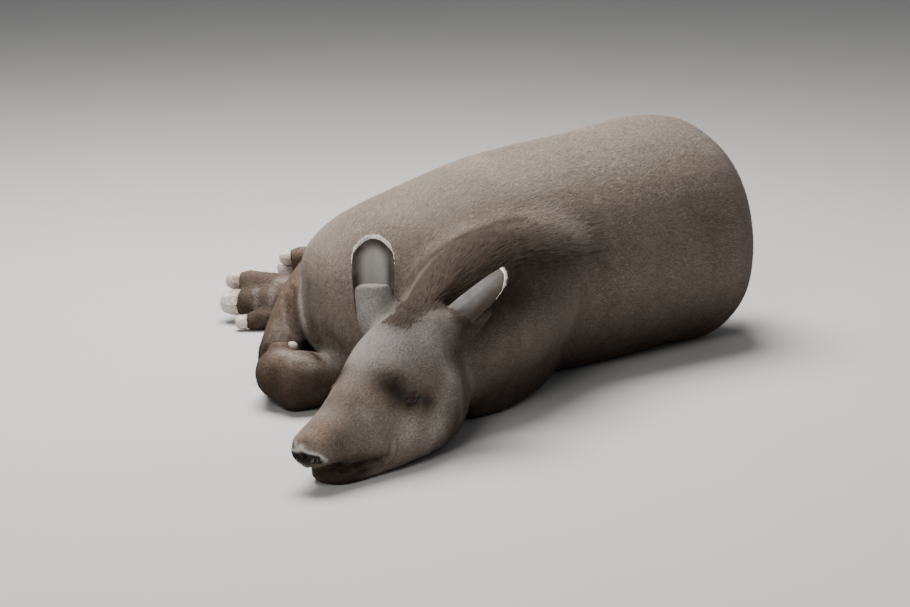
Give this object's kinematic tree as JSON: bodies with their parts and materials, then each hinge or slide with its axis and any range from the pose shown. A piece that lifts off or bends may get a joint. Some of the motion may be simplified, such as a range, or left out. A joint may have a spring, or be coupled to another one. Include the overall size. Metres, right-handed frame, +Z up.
{
  "type": "lowland tapir, sleeping",
  "caption": "Life-size still model of a lowland tapir asleep on its left side, chin on the floor, legs folded and stretched.",
  "frame": {"origin": "on the floor under the middle of the ribs, on the flat that the trunk rests on", "axes": "+X from the head towards the rump, +Y from the back towards the feet, +Z up"},
  "size_m": [1.718, 1.2326, 0.5061],
  "materials": {
    "coat": "short, close, matt grey-brown hair, darker along the crest of the neck",
    "ear_skin": "thin blue-grey skin with fine hair and a white rim",
    "eye": "wet and dark, almost closed",
    "horn": "pale worn horn, darker at the root"
  },
  "bodies": {
    "root": {"ear_left": "ear_skin", "ear_right": "ear_skin", "eye_left": "eye", "eye_right": "eye", "head": "coat", "hoof_fore_left_1": "horn", "hoof_fore_left_2": "horn", "hoof_fore_left_3": "horn", "hoof_fore_left_4": "horn", "hoof_fore_right_1": "horn", "hoof_fore_right_2": "horn", "hoof_fore_right_3": "horn", "hoof_fore_right_4": "horn", "hoof_hind_left_1": "horn", "hoof_hind_left_2": "horn", "hoof_hind_left_3": "horn", "hoof_hind_right_1": "horn", "hoof_hind_right_2": "horn", "hoof_hind_right_3": "horn", "leg_fore_left": "coat", "leg_fore_right": "coat", "leg_hind_left": "coat", "leg_hind_right": "coat", "neck": "coat", "tail": "coat", "torso": "coat"}
  },
  "joints": []
}
